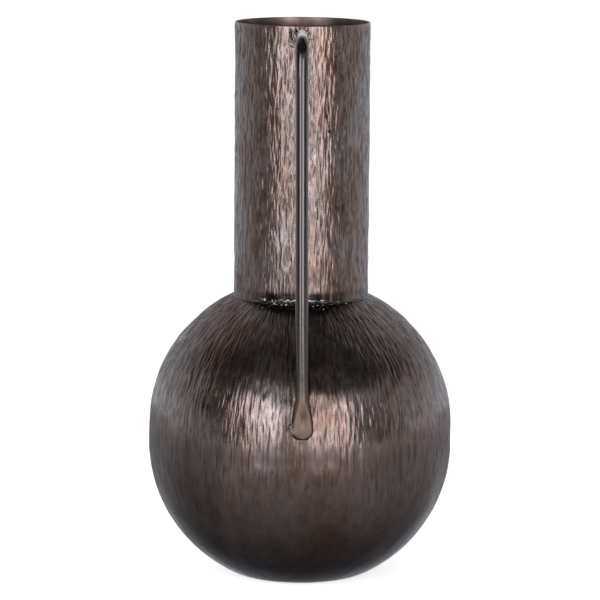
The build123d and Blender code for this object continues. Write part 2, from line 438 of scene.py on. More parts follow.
def read_places(mesh):
    """The places of a mesh's vertices."""
    values = np.zeros(3 * len(mesh.vertices), np.float32)
    mesh.vertices.foreach_get("co", values)
    return values.reshape(-1, 3).astype(float)


def read_normals(mesh):
    """The outward directions at a mesh's vertices."""
    values = np.zeros(3 * len(mesh.vertices), np.float32)
    mesh.vertex_normals.foreach_get("vector", values)
    return values.reshape(-1, 3).astype(float)


def read_attribute(mesh, name):
    """A stored number for each vertex."""
    values = np.zeros(len(mesh.vertices), np.float32)
    mesh.attributes[name].data.foreach_get("value", values)
    return values


def move_to(mesh, places):
    """Put a mesh's vertices at new places."""
    mesh.vertices.foreach_set("co", places.astype(np.float32).ravel())
    mesh.update()


def write_attribute(mesh, name, values):
    """Store one number, or one vector, for each vertex."""
    values = np.asarray(values, np.float32)
    kind, field = ("FLOAT", "value") if values.ndim == 1 else ("FLOAT_VECTOR", "vector")
    mesh.attributes.new(name, kind, "POINT").data.foreach_set(field, values.ravel())


def arc(centre, radius, start, end, count):
    """Points (radius, height) on an arc about a centre, between two elevations in radians."""
    return [
        (centre[0] + radius * math.cos(a), centre[1] + radius * math.sin(a))
        for a in np.linspace(start, end, count)]


def line(start, end, count):
    """Points (radius, height) on a straight line, both ends included."""
    return [tuple(p) for p in np.linspace(start, end, count)]


def spin_wall(name, outline, columns):
    """Turn a sheet-metal wall: draw its outline point by point, tag the points, and spin it.

    outline holds (skin, points) runs: skin is 1 on the outside of the wall and 0 on the inside."""
    points = [p for _, run in outline for p in run]
    skins = [float(skin) for skin, run in outline for _ in run]
    clear_selection()
    bpy.ops.mesh.primitive_plane_add(size=MM)
    piece = bpy.context.active_object
    piece.name = piece.data.name = name
    bpy.ops.object.mode_set(mode="EDIT")
    bpy.ops.mesh.select_all(action="SELECT")
    bpy.ops.mesh.merge(type="CENTER")
    # a fresh start after the merge keeps the points stored in the order in which they are drawn
    bpy.ops.object.mode_set(mode="OBJECT")
    bpy.ops.object.mode_set(mode="EDIT")
    bpy.ops.transform.translate(value=(points[0][0], 0, points[0][1]))
    for (r, z), (next_r, next_z) in zip(points, points[1:]):
        bpy.ops.mesh.extrude_vertices_move(TRANSFORM_OT_translate={"value": (next_r - r, 0, next_z - z)})
    bpy.ops.object.mode_set(mode="OBJECT")
    write_attribute(piece.data, "skin", skins)
    turn = piece.modifiers.new("turn", "SCREW")
    turn.axis = "Z"
    turn.steps = turn.render_steps = columns
    bpy.ops.object.modifier_apply(modifier=turn.name)
    bpy.ops.object.mode_set(mode="EDIT")
    bpy.ops.mesh.select_all(action="SELECT")
    bpy.ops.mesh.remove_doubles(threshold=0.01 * MM)
    bpy.ops.mesh.normals_make_consistent(inside=False)
    bpy.ops.object.mode_set(mode="OBJECT")
    bpy.ops.object.shade_smooth()
    return piece


SHUFFLE = np.random.default_rng(1).permutation(256)
SLOPES = np.random.default_rng(2).normal(size=(256, 3))
SLOPES /= np.linalg.norm(SLOPES, axis=1)[:, None]


def ripple(points):
    """Smooth gradient noise at each point, about -1 to 1, with one cell to the unit."""
    cell = np.floor(points).astype(int)
    part = points - cell
    fade = part ** 3 * (part * (part * 6 - 15) + 10)
    total = np.zeros(len(points))
    for corner in np.ndindex(2, 2, 2):
        key = np.zeros(len(points), int)
        for axis in range(3):
            key = SHUFFLE[(key + cell[:, axis] + corner[axis]) & 255]
        share = np.prod(np.where(corner, fade, 1 - fade), axis=1)
        total += share * np.einsum("ij,ij->i", SLOPES[key], part - np.array(corner))
    return 1.5 * total


class ChiselMap:
    """Depths of single chisel cuts on the unrolled sheet, from 0 to 1. It wraps round at the seam."""
    STEP_AROUND = 0.2 * MM
    STEP_ALONG = 0.6 * MM
    # a cut's right side is this much wider than its left
    SHALLOW = 2.2

    def __init__(self, seed, around, low, high, count):
        self.low = low
        self.columns = int(around / self.STEP_AROUND)
        self.step = around / self.columns
        self.rows = int((high - low) / self.STEP_ALONG) + 2
        self.depth = np.zeros((self.columns, self.rows))
        draw = np.random.default_rng(seed)
        for _ in range(count):
            self.cut(
                draw.uniform(0, around), draw.uniform(low, high), (3 + draw.exponential(5)) * MM,
                draw.uniform(0.3, 0.6) * MM, draw.uniform(0.3, 1.0), draw.normal(0, 0.06))

    def cut(self, place, height, long, half_width, depth, lean):
        """One cut: steep on its left side, shallow on its right, and fading at both ends."""
        u = self.cells(place, 3 * half_width, self.step)
        v = self.cells(height - self.low, long / 2, self.STEP_ALONG)
        v = v[(v >= 0) & (v < self.rows)]
        if not len(v):
            return
        rise = v * self.STEP_ALONG + self.low - height
        across = (u * self.step - place)[:, None] - lean * rise[None, :]
        across = np.where(across < 0, across / half_width, across / (self.SHALLOW * half_width))
        section = np.clip(1 - across ** 2, 0, None)
        ends = np.sqrt(np.clip(1 - (2 * rise / long) ** 2, 0, None))
        spot = np.ix_(u % self.columns, v)
        self.depth[spot] = np.maximum(self.depth[spot], depth * section * ends)

    @staticmethod
    def cells(middle, reach, step):
        """Numbers of the cells within reach of a place."""
        return np.arange(int((middle - reach) / step), int((middle + reach) / step) + 1)

    def at(self, azimuth, height):
        """Depth at each azimuth and height along the sheet, read between the map's cells."""
        u = (azimuth % (2 * math.pi)) / (2 * math.pi) * self.columns
        v = np.clip((height - self.low) / self.STEP_ALONG, 0, self.rows - 1.001)
        iu, iv = np.floor(u).astype(int), np.floor(v).astype(int)
        fu, fv = u - iu, v - iv
        near, far = iu % self.columns, (iu + 1) % self.columns
        return (
            (1 - fu) * ((1 - fv) * self.depth[near, iv] + fv * self.depth[near, iv + 1])
            + fu * ((1 - fv) * self.depth[far, iv] + fv * self.depth[far, iv + 1]))


def chase(piece, chisel, grain_radius, height, outward, strength, hammer_depth, tone):
    """Hammer and chase a wall: move its points outward or inward, and store what its material reads.

    height is each point's place along the sheet, outward its direction of move, and strength, from 0 to 1,
    how deep the chasing is there. hammer_depth is the height of the broad waves. The whole numbers added
    to places keep one pattern of noise apart from the next."""
    mesh = piece.data
    places = read_places(mesh)
    skin = read_attribute(mesh, "skin")
    azimuth = np.arctan2(places[:, 1], places[:, 0])
    finish = bpy.context.scene.urn_finish
    hammer = ripple(places / HAMMER_BROAD) + 0.75 * ripple(places / HAMMER_SMALL + 7.0)
    grain = np.stack([grain_radius * np.cos(azimuth), grain_radius * np.sin(azimuth), height], 1)
    tangent = np.stack([-np.sin(azimuth), np.cos(azimuth), np.zeros(len(azimuth))], 1)
    wander = WANDER * ripple(grain / WANDER_CELL + 3.0)
    strokes = grain + tangent * wander[:, None]
    bark = ripple(strokes / BARK_CELL) + 0.4 * ripple(strokes / FINE_BARK_CELL + 31.0)
    cuts = chisel.at(azimuth + wander / grain_radius, height)
    # the hammered waves run out onto the flat base
    lift = hammer_depth * hammer * np.clip(strength + 0.35, 0, 1) * np.clip(places[:, 2] / (5 * MM), 0, 1)
    lift += skin * strength * (finish.bark_depth * bark - finish.cut_depth * cuts)
    move_to(mesh, places + outward * lift[:, None])
    write_attribute(mesh, "grain", grain)
    write_attribute(mesh, "wear", np.clip(0.55 + strength * (0.2 * bark - 0.8 * cuts), 0, 1))
    write_attribute(mesh, "tone", tone)
    write_attribute(mesh, "chased", strength)
    mesh.materials.append(material_named("chased_copper_plate", chased_plate))
    mesh.materials.append(material_named("thin_copper_wash", copper_wash))
    # faces with no point on the outside get the wash
    corners = np.zeros(len(mesh.loops), np.int32)
    mesh.loops.foreach_get("vertex_index", corners)
    starts = np.zeros(len(mesh.polygons), np.int32)
    mesh.polygons.foreach_get("loop_start", starts)
    inside = np.maximum.reduceat(skin[corners], starts) < 0.5
    mesh.polygons.foreach_set("material_index", inside.astype(np.int32))
    mesh.update()
    clear_selection()
    bpy.context.view_layer.objects.active = piece
    piece.select_set(True)
    bpy.ops.object.shade_smooth_by_angle(angle=math.radians(60))


class URN_OT_neck(bpy.types.Operator):
    """Make the neck: a rolled tube with a rounded rim, chased all over"""
    bl_idname = "urn.neck"
    bl_label = "Neck"

    def execute(self, context):
        sizes = context.scene.urn_sizes
        outer, inner = sizes.neck_radius, sizes.neck_radius - sizes.sheet
        low, high, edge = NECK_LOW.z, NECK_HIGH.z, sizes.rim_rounding
        rim = arc((outer - edge, high - edge), edge, 0, math.pi / 2, 5)
        lip = arc((inner + edge, high - edge), edge, math.pi / 2, math.pi, 5)
        piece = spin_wall("neck_chased", [
            (1, line((outer, low), (outer, high - 2 * edge), NECK_ROWS)),
            (1, rim + lip[:1]),
            (0, lip[1:]),
            (0, line((inner, high - 2 * edge), (inner, high - 40 * MM), 5)),
            (0, line((inner, high - 60 * MM), (inner, low), 3)),
            (1, [(outer, low)]),
        ], NECK_COLUMNS)
        places = read_places(piece.data)
        height = places[:, 2]
        chisel = ChiselMap(5, 2 * math.pi * sizes.neck_radius, low, high, NECK_CUTS)
        strength = np.clip((high - height) / (3 * MM), 0.15, 1)
        outward = places * (1, 1, 0)
        outward /= np.linalg.norm(outward, axis=1)[:, None]
        chase(
            piece, chisel, sizes.neck_radius, height, outward, strength,
            context.scene.urn_finish.neck_hammer, self.tone(places, sizes))
        hand_over(piece, "neck_sheet", "neck_tube")
        return {"FINISHED"}

    def tone(self, places, sizes):
        """Darker above the weld, most of all near the handles, from soot and painted shade of the weld's
        crest, and brushed bright right of each bar's top.
        """
        above_weld = places[:, 2] - upper_centre(sizes) - seam_above(sizes) - 6.5 * MM
        near_weld = np.clip(above_weld, 0, None) / (2.2 * MM)
        patchy = np.clip(0.8 + 0.6 * ripple(places / (9 * MM)), 0, 1)
        # soot and painted shade of the weld's crest
        soot = (0.2 + 0.75 * weld_roughness(places) * patchy) * np.exp(-near_weld ** 2)
        beside = (-places[:, 0] * np.sign(places[:, 1]) - 18 * MM) / (11 * MM)
        below_rim = (NECK_HIGH.z - places[:, 2] - 12 * MM) / (20 * MM)
        brushed = 0.45 * np.exp(-beside ** 2 - below_rim ** 2)
        return (1 - soot) * (1 + brushed)


def chase_ball(piece, sizes, chisel):
    """Chase one piece of the ball: deep above the girth, softer and darker towards the base."""
    places = read_places(piece.data)
    low, high = LOWER_HIGH.z - sizes.skirt, UPPER_LOW.z + sizes.skirt
    radial = np.hypot(places[:, 0], places[:, 1])
    level = np.clip(places[:, 2], low, high)
    rise = places[:, 2] - level
    height = arc_radius(sizes) * np.arctan2(rise, np.maximum(radial - sizes.arc_offset, MM))
    height += level - (low + high) / 2
    spine = places * (np.minimum(sizes.arc_offset / np.maximum(radial, MM), 1))[:, None]
    spine[:, 2] = level
    outward = places - spine
    outward /= np.maximum(np.linalg.norm(outward, axis=1), MM)[:, None]
    strength = np.interp(height, DEPTH_HEIGHTS, DEPTHS)
    # soot and painted shade: the ball is darkened in a band below the weld's crest, at the front and the
    # back
    below_weld = (seam_above(sizes) - (places[:, 2] - high)) / (4 * MM)
    soot = 0.6 * weld_roughness(places) * np.exp(-below_weld ** 2)
    # painted shade of the handle: the plate is darkened on the left of each foot
    beside = (places[:, 0] * np.sign(places[:, 1]) - 10 * MM) / (4.5 * MM)
    handle_shade = 0.45 * np.exp(-beside ** 2 - ((height - 26 * MM) / (17 * MM)) ** 4)
    # the plate is darkened towards the base by painted shade, below the weld by soot and painted shade, and
    # left of each foot by painted shade of the handle
    tone = np.interp(height, PAINTED_SHADE_HEIGHTS, PAINTED_SHADE_TONES) * (1 - soot) * (1 - handle_shade)
    eased = np.clip(np.abs(height), 0, GIRTH_EASE)
    along = np.sign(height) * (np.abs(height) - eased + eased ** 2 / (2 * GIRTH_EASE))
    hammer_depth = bpy.context.scene.urn_finish.ball_hammer
    chase(piece, chisel, BALL_GRAIN_RADIUS, along, outward, strength, hammer_depth, tone)


class URN_OT_bowls(bpy.types.Operator):
    """Make the ball: the two spun bowls and the dressed weld between them"""
    bl_idname = "urn.bowls"
    bl_label = "Bowls"

    def execute(self, context):
        sizes = context.scene.urn_sizes
        sheet, outer, radius = sizes.sheet, sizes.body_radius, arc_radius(sizes)
        inner = outer - sheet
        low, high = LOWER_HIGH.z, UPPER_LOW.z
        low_centre = (sizes.arc_offset, low - sizes.skirt)
        high_centre = (sizes.arc_offset, high + sizes.skirt)
        corner = sizes.base_corner
        drop = low_centre[1] - corner
        corner_centre = (sizes.arc_offset + math.sqrt((radius - corner) ** 2 - drop ** 2), corner)
        meet = -math.atan2(drop, corner_centre[0] - sizes.arc_offset)
        down = -math.pi / 2
        lower = spin_wall("lower_bowl_chased", [
            (1, line((0.0, 0.0), (corner_centre[0] * 0.9, 0.0), 3)),
            (1, arc(corner_centre, corner, down, meet, 8)[:-1]),
            (1, arc(low_centre, radius, meet, -0.32, 17)),
            (1, arc(low_centre, radius, -0.3, 0.0, 14)),
            (1, line((outer, low_centre[1] + 2 * MM), (outer, low), 3)),
            (0, line((inner, low), (inner, low_centre[1]), 2)),
            (0, arc(low_centre, radius - sheet, -0.15, meet, 5)),
            (0, arc(corner_centre, corner - sheet, meet, down, 4)[1:]),
            (0, [(0.0, sheet)]),
        ], BALL_COLUMNS)
        hole = sizes.neck_radius + HOLE_CLEARANCE - sizes.arc_offset
        upper = spin_wall("upper_bowl_chased", [
            (1, line((outer, high), (outer, high + 4 * MM), 3)),
            (1, arc(high_centre, radius, 0.0, math.acos(hole / radius), BALL_ROWS)),
            (0, arc(high_centre, radius - sheet, math.acos(hole / (radius - sheet)), 0.0, 7)),
            (0, [(inner, high)]),
            (1, [(outer, high)]),
        ], BALL_COLUMNS)
        girth = spin_wall("girth_weld_dressed", [
            (1, [(outer, low), (outer, high)]),
            (0, [(inner, high), (inner, low)]),
            (1, [(outer, low)]),
        ], BALL_COLUMNS)
        # one map of cuts for all three, so that they run on across the girth
        reach = sizes.body_radius * math.pi / 2
        chisel = ChiselMap(11, 2 * math.pi * BALL_GRAIN_RADIUS, -reach, reach, BALL_CUTS)
        for piece, node in ((lower, "lower_bowl"), (upper, "upper_bowl"), (girth, "girth_weld")):
            chase_ball(piece, sizes, chisel)
            hand_over(piece, "bowl_sheet", node)
        return {"FINISHED"}


def draw_out(distance, direction, step):
    """Extrude the selected end of the bar over a distance, in even steps."""
    count = round(distance / step)
    move = Vector(direction) * distance / count
    for _ in range(count):
        bpy.ops.mesh.extrude_region_move(TRANSFORM_OT_translate={"value": move})


def bend_bar(name, sizes, drop):
    """A handle in front of the vase: bar run out of the neck, spun round both bends, drawn down to the tip.

    drop is how far below the rim its centre line starts. In the plane of the handle a heading of 0 is
    straight out from the neck, and 90 degrees straight down."""
    dip, easy = sizes.bar_dip, math.pi / 2 - sizes.bend_easy_angle
    reach = sizes.bend_tight * (math.sin(easy) - math.sin(dip)) + sizes.bend_easy * (1 - math.sin(easy))
    start = Vector((0, sizes.sheet / 2 - sizes.neck_radius, NECK_HIGH.z - drop))
    run_length = (leg_radius(sizes) - reach + start.y) / math.cos(dip)
    out = Vector((0, -math.cos(dip), -math.sin(dip)))
    clear_selection()
    bpy.ops.mesh.primitive_circle_add(
        vertices=HANDLE_SIDES, radius=sizes.bar_radius, location=start,
        rotation=(math.pi / 2 + dip, 0, 0))
    piece = bpy.context.active_object
    piece.name = piece.data.name = name
    bpy.ops.object.transform_apply(location=True, rotation=True, scale=True)
    bpy.ops.object.mode_set(mode="EDIT")
    bpy.ops.mesh.select_all(action="SELECT")
    draw_out(run_length, out, BAR_STEP)
    end = start + out * run_length
    for radius, heading, turned in ((sizes.bend_tight, dip, easy), (sizes.bend_easy, easy, math.pi / 2)):
        pivot = end + radius * Vector((0, math.sin(heading), -math.cos(heading)))
        bpy.ops.mesh.spin(steps=BEND_STEPS, angle=turned - heading, center=pivot, axis=(-1, 0, 0))
        end = pivot - radius * Vector((0, math.sin(turned), -math.cos(turned)))
    draw_out(end.z - upper_centre(sizes) - FOOT_ROOT_ABOVE, (0, 0, -1), BAR_STEP)
    draw_out(FOOT_ROOT_ABOVE - FOOT_TIP_ABOVE, (0, 0, -1), FOOT_STEP)
    bpy.ops.mesh.edge_face_add()
    bpy.ops.mesh.select_all(action="SELECT")
    bpy.ops.mesh.normals_make_consistent(inside=False)
    bpy.ops.object.mode_set(mode="OBJECT")
    bpy.ops.object.shade_smooth()
    return piece


def forge(piece, sizes, side_sign, phase):
    """Draw out the foot, dent the bar lightly all over, and store where the fire browned it."""
    mesh = piece.data
    places = read_places(mesh)
    leg, radius = leg_radius(sizes), sizes.bar_radius
    above = places[:, 2] - upper_centre(sizes)
    # the rows close up towards the tip, so that its end is round
    tip_length = FOOT_WIDEST_ABOVE - FOOT_TIP_ABOVE
    tip_share = np.clip((FOOT_WIDEST_ABOVE - above) / tip_length, 0, 1)
    rounded = FOOT_WIDEST_ABOVE - tip_length * np.sin(tip_share * math.pi / 2)
    above = np.where(tip_share > 0, rounded, above)
    places[:, 2] = above + upper_centre(sizes)
    foot = above < FOOT_ROOT_ABOVE - 0.01 * MM
    seat = np.maximum(leg, ball_reach(above, sizes))
    out = (-places[:, 1] - leg) / radius
    # hammering has flattened the foot's face
    flat = np.clip((FOOT_ROOT_ABOVE - above) / (12 * MM), 0, 1)
    out = np.sign(out) * np.abs(out) ** (1 - 0.4 * flat)
    places[:, 0] = np.where(foot, places[:, 0] / radius * foot_width(above, sizes), places[:, 0])
    places[:, 1] = np.where(foot, -(seat + out * (leg + radius - seat)), places[:, 1])
    move_to(mesh, places)
    dents = 0.05 * MM * ripple(places / np.array([4, 4, 9]) / MM + phase)
    flare = np.clip((FOOT_ROOT_ABOVE + 11 * MM - above) / (20 * MM), 0, 1)
    dents += 0.22 * MM * flare * ripple(places / (4.5 * MM) + phase)
    across = (places[:, 0] - THUMB_ASIDE) / THUMB_HALF_WIDTH
    along = (above - THUMB_ABOVE) / THUMB_HALF_LENGTH
    thumb = np.exp(-across ** 2 - along ** 2) * (out > 0)
    dents -= THUMB_DEPTH * thumb
    places += read_normals(mesh) * dents[:, None]
    places[:, 0] += side_sign * np.interp(places[:, 2], BAR_HEIGHTS, BAR_ASIDE)
    move_to(mesh, places)
    write_attribute(mesh, "fire_scale", flare)
    # painted shade: the bar's colour is darkened in the thumb dent, and it is darker towards the tip
    write_attribute(mesh, "shade", (1 - 0.42 * thumb) * (1 - 0.3 * tip_share))
    mesh.materials.append(material_named("forged_steel_bar", forged_bar))


def turn_to_rear(piece):
    """Turn a front piece half round the vase's axis."""
    move_to(piece.data, read_places(piece.data) * (-1, -1, 1))


class URN_OT_handles(bpy.types.Operator):
    """Make the two handles from bent bar, each with its forged foot"""
    bl_idname = "urn.handles"
    bl_label = "Handles"

    def execute(self, context):
        sizes = context.scene.urn_sizes
        for name, side_sign, phase, drop in (
                ("front_handle", 1, 0.0, sizes.bar_drop), ("rear_handle", -1, 17.0, sizes.rear_drop)):
            piece = bend_bar(name + "_forged", sizes, drop)
            forge(piece, sizes, side_sign, phase)
            if name == "rear_handle":
                turn_to_rear(piece)
            hand_over(piece, "handle_bar", name)
        return {"FINISHED"}


def melt(name, lumps, voxel, smoothing):
    """Weld metal: overlapping drops, each (place, radius), melted into one skin."""
    clear_selection()
    bpy.ops.object.add(type="MESH")
    piece = bpy.context.active_object
    piece.name = piece.data.name = name
    bpy.ops.object.mode_set(mode="EDIT")
    for place, radius in lumps:
        bpy.ops.mesh.primitive_ico_sphere_add(subdivisions=2, radius=radius, location=place)
    bpy.ops.object.mode_set(mode="OBJECT")
    remesh = piece.modifiers.new("melt", "REMESH")
    remesh.mode = "VOXEL"
    remesh.voxel_size = voxel
    bpy.ops.object.modifier_apply(modifier=remesh.name)
    smooth = piece.modifiers.new("flow", "SMOOTH")
    smooth.factor = 0.5
    smooth.iterations = smoothing
    bpy.ops.object.modifier_apply(modifier=smooth.name)
    bpy.ops.object.shade_smooth()
    return piece


def finish_weld(piece, soot):
    """Give a weld its metal, and store how sooty each point is, which on some welds holds painted shade too.
    """
    write_attribute(piece.data, "soot", np.clip(soot, 0, 1))
    piece.data.materials.append(material_named("weld_metal", weld_metal))


class URN_OT_neck_weld(bpy.types.Operator):
    """Make the weld round the foot of the neck: dressed at the sides, rough and spattered at the handles"""
    bl_idname = "urn.neck_weld"
    bl_label = "Neck weld"
    COLUMNS = 720
    LEG, REACH, ROOT = 1.6 * MM, 2.0 * MM, 0.8 * MM
    CREST_HEIGHT = 2.4 * MM
    # runs of drops on the crest: azimuths of both ends, and the drops' size there
    RIDGES = (
        (-0.43, -0.07, 0.7 * MM, 1.7 * MM),
        (0.38, 0.09, 0.7 * MM, 1.2 * MM),
        (-0.63, -0.54, 0.8 * MM, 1.2 * MM),
    )
    # spatter on the ball: how many drops, their spread in azimuth, the ranges of their size and of their
    # distance below the seam, in mm, and the share of its size by which each stands off the ball
    SPATTER = (
        (22, 0.4, (0.8, 1.4), (-0.4, 1.2), 0.3),
        (30, 0.42, (0.6, 1.1), (0.8, 3.6), 0.2),
    )

    def execute(self, context):
        sizes = context.scene.urn_sizes
        fillet = self.make_fillet(sizes)
        lumps = melt("neck_weld_lumps", self.lumps(sizes), 0.35 * MM, 3)
        clear_selection()
        for piece in (lumps, fillet):
            piece.select_set(True)
        context.view_layer.objects.active = fillet
        bpy.ops.object.join()
        places = read_places(fillet.data)
        # soot and painted shade: on the rough welds the lumps are black but for the clean crest and a few
        # clean spots
        crest = (places[:, 2] - upper_centre(sizes) - seam_above(sizes) - self.CREST_HEIGHT) / (1.5 * MM)
        clean = np.exp(-crest ** 2) * np.clip(0.75 + ripple(places / (6 * MM)), 0, 1)
        glints = 0.7 * (ripple(places / (2.6 * MM)) > 0.3)
        rough_soot_and_shade = 1 - 0.85 * clean - glints
        share = weld_roughness(places)
        finish_weld(fillet, 0.7 * (1 - share) + rough_soot_and_shade * share)
        hand_over(fillet, "weld_bead", "neck_weld")
        return {"FINISHED"}

    def make_fillet(self, sizes):
        """The dressed bead: a hollow corner between neck and ball, uneven where it is rough."""
        seam = upper_centre(sizes) + seam_above(sizes)
        wall, toe = sizes.neck_radius, sizes.neck_radius + self.REACH
        toe_above = math.sqrt(arc_radius(sizes) ** 2 - (toe - sizes.arc_offset) ** 2)
        toe_height = upper_centre(sizes) + toe_above
        top, foot = np.array([(wall, seam + self.LEG), (toe, toe_height)])
        hollow = np.array((wall + 0.4 * MM, seam + 0.2 * MM))
        face = [
            tuple((1 - t) ** 2 * top + 2 * t * (1 - t) * hollow + t ** 2 * foot)
            for t in np.linspace(0, 1, 7)]
        piece = spin_wall("neck_weld_bead", [
            (0, [(wall - self.ROOT / 2, seam + self.LEG)]),
            (1, face),
            (0, [(toe, toe_height - self.ROOT), (wall - self.ROOT / 2, seam + self.LEG)]),
        ], self.COLUMNS)
        places, skin = read_places(piece.data), read_attribute(piece.data, "skin")
        rough = weld_roughness(places)
        uneven = (0.05 + 0.4 * rough) * MM * ripple(places / (2.6 * MM)) + 0.1 * MM
        places += read_normals(piece.data) * (skin * uneven)[:, None]
        # at the sides the bead is dressed down almost to the corner
        corner = places * (1, 1, 0) * (wall / np.hypot(places[:, 0], places[:, 1]))[:, None]
        corner[:, 2] = seam
        move_to(piece.data, corner + (places - corner) * (0.35 + 0.65 * rough)[:, None])
        return piece

    def lumps(self, sizes):
        """The rough part: a wavy crest of drops standing off the neck, and spatter on the ball."""
        draw = np.random.default_rng(23)
        above = seam_above(sizes)
        drops = []
        for middle in (0.0, math.pi):
            for start, end, thin, thick in self.RIDGES:
                for share in np.linspace(0, 1, 22):
                    azimuth = middle + start + (end - start) * share + draw.normal(0, 0.006)
                    size = (thin + (thick - thin) * share) * draw.uniform(0.7, 1.25)
                    height = upper_centre(sizes) + above + self.CREST_HEIGHT + draw.normal(0, 0.45) * MM
                    drops.append((on_neck(sizes, azimuth * sizes.neck_radius, height, 0.35 * size), size))
            for count, spread, radii, depths, proud in self.SPATTER:
                for _ in range(count):
                    azimuth = middle + draw.normal(0, spread)
                    size = draw.uniform(*radii) * MM
                    below = draw.uniform(*depths) * MM
                    drops.append((on_ball(sizes, azimuth, above - below, proud * size), size))
        return drops


class URN_OT_handle_welds(bpy.types.Operator):
    """Make the welds that hold the handles, at the neck and round each foot"""
    bl_idname = "urn.handle_welds"
    bl_label = "Handle welds"
    VOXEL = 0.3 * MM
    # ridges of drops on the neck: (across, height) of both ends from the bar's middle, and their size, in mm
    RIDGES = (
        ((-9.8, 3.1), (-9.2, -4.7), 1.1),
        ((-5.8, 3.5), (-7.0, -4.3), 1.1),
        ((7.3, -4.0), (8.3, -9.8), 1.0),
    )
    # small drops below the ridges: how many, and the ranges of across, height and size, in mm
    SPATTER = (
        (12, (-10.5, -5.5), (-7.9, -4.9), (0.7, 0.95)),
        (9, (-10.8, -5.8), (-10.7, -8.2), (0.5, 0.65)),
    )
    # collar of drops under the bar, in mm
    COLLAR_RADIUS = 5.2
    # the heavy drop low on the left of the foot: (across, height, size) of its lumps, in mm
    BLOB = ((-7.5, 19.2, 1.7), (-5.9, 17.6, 1.7), (-4.9, 15.0, 1.5), (-7.0, 16.2, 1.4))

    def execute(self, context):
        sizes = context.scene.urn_sizes
        for handle, side_sign, seed, drop in (
                ("front_handle", 1, 41, sizes.bar_drop), ("rear_handle", -1, 43, sizes.rear_drop)):
            top = melt(f"{handle}_top_weld_bead", self.top_lumps(sizes, seed, drop), self.VOXEL, 3)
            finish_weld(top, self.top_soot(read_places(top.data), sizes))
            foot = melt(f"{handle}_foot_weld_bead", self.foot_lumps(sizes, seed, side_sign), self.VOXEL, 2)
            finish_weld(foot, self.foot_soot_and_shade(read_places(foot.data), sizes))
            for piece, weld in ((top, "top_weld"), (foot, "foot_weld")):
                if handle == "rear_handle":
                    turn_to_rear(piece)
                hand_over(piece, "weld_bead", f"{handle}_{weld}")
        return {"FINISHED"}

    def top_lumps(self, sizes, seed, drop):
        """Two ridges and small drops on the left of the bar, a bead on its right, and a collar under it."""
        draw = np.random.default_rng(seed)
        spots = []
        for start, end, size in self.RIDGES:
            for share in np.linspace(0, 1, 14):
                across, height = np.array(start) * (1 - share) + np.array(end) * share
                spots.append((across + draw.normal(0, 0.15), height, size * draw.uniform(0.85, 1.1)))
        for count, *ranges in self.SPATTER:
            for _ in range(count):
                spots.append([draw.uniform(*span) for span in ranges])
        for turn in np.linspace(-math.pi, 0, 14):
            across, height = self.COLLAR_RADIUS * math.cos(turn), self.COLLAR_RADIUS * math.sin(turn)
            spots.append((across, height, draw.uniform(1.0, 1.3)))
        run = NECK_HIGH.z - drop
        return [
            (on_neck(sizes, across * MM, run + height * MM, (size - 0.8) * MM), size * MM)
            for across, height, size in spots]

    def top_soot(self, places, sizes):
        """Patches of soot on the left of the bar and under it, and the bead on its right brushed grey."""
        right = places[:, 0] > sizes.bar_radius
        return np.where(right, 0.3, 0.55) + np.where(right, 0.25, 0.7) * ripple(places / (2.5 * MM))

    def foot_lumps(self, sizes, seed, side_sign):
        """Bead round the teardrop, thinner towards its upper ends, with one heavy drop low on its left."""
        draw = np.random.default_rng(seed + 100)
        bead_height = FOOT_ROOT_ABOVE - 6 * MM - FOOT_TIP_ABOVE
        spots = []
        for turn in np.linspace(0, 1, 64):
            above = FOOT_TIP_ABOVE + bead_height * turn ** 2
            half = float(foot_width(np.array(above), sizes)) + 0.3 * MM
            for sign, size in ((-1, 1.5 * MM), (1, 0.8 * MM)):
                spots.append((sign * half, above, size * (1 - 0.4 * turn) * draw.uniform(0.85, 1.05)))
        for across in np.arange(-4.0, 4.1, 0.8):
            spots.append((across * MM, FOOT_TIP_ABOVE - 0.3 * MM, draw.uniform(0.7, 1.0) * MM))
        aside = side_sign * BAR_ASIDE[0]
        bead = [
            (on_ball(sizes, (across + aside) / sizes.body_radius, above, -0.1 * MM), size)
            for across, above, size in spots]
        return bead + self.blob_lumps(sizes)

    def blob_lumps(self, sizes):
        """The lumps of the heavy drop."""
        return [
            (on_ball(sizes, across * MM / sizes.body_radius, above * MM, 0.0), size * MM)
            for across, above, size in self.BLOB]

    def foot_soot_and_shade(self, places, sizes):
        """Black all round the foot, for soot and the painted shade of the gap between foot and ball, but for
        the heavy drop, which was brushed.
        """
        soot = np.full(len(places), 1.0)
        for centre, size in self.blob_lumps(sizes):
            near = np.linalg.norm(places - np.array(centre), axis=1) / (1.6 * size)
            soot -= 0.3 * np.exp(-near ** 4)
        return np.clip(soot, 0.68, 1)


def card(name, azimuths, low, high, grey, tint=WHITE):
    """A bent card of the studio that only reflections see.

    It runs between two azimuths in degrees, with 0 at the camera and 90 on the right, and between two
    (radius, height) edges."""
    steps = 16
    turn = np.radians(np.linspace(azimuths[0], azimuths[1], steps + 1))
    corners = [(r * math.sin(a), -r * math.cos(a), z) for r, z in (low, high) for a in turn]
    faces = [(i, i + 1, i + steps + 2, i + steps + 1) for i in range(steps)]
    mesh = bpy.data.meshes.new(name)
    mesh.from_pydata(corners, [], faces)
    made = bpy.data.objects.new(name, mesh)
    bpy.context.scene.collection.objects.link(made)
    material, tree, out = new_material(name)
    shade = add_node(tree, "ShaderNodeEmission", {"Color": tint, "Strength": grey})
    tree.links.new(shade.outputs[0], out.inputs["Surface"])
    mesh.materials.append(material)
    made.visible_camera = False
    made.visible_shadow = False
    made.visible_diffuse = False


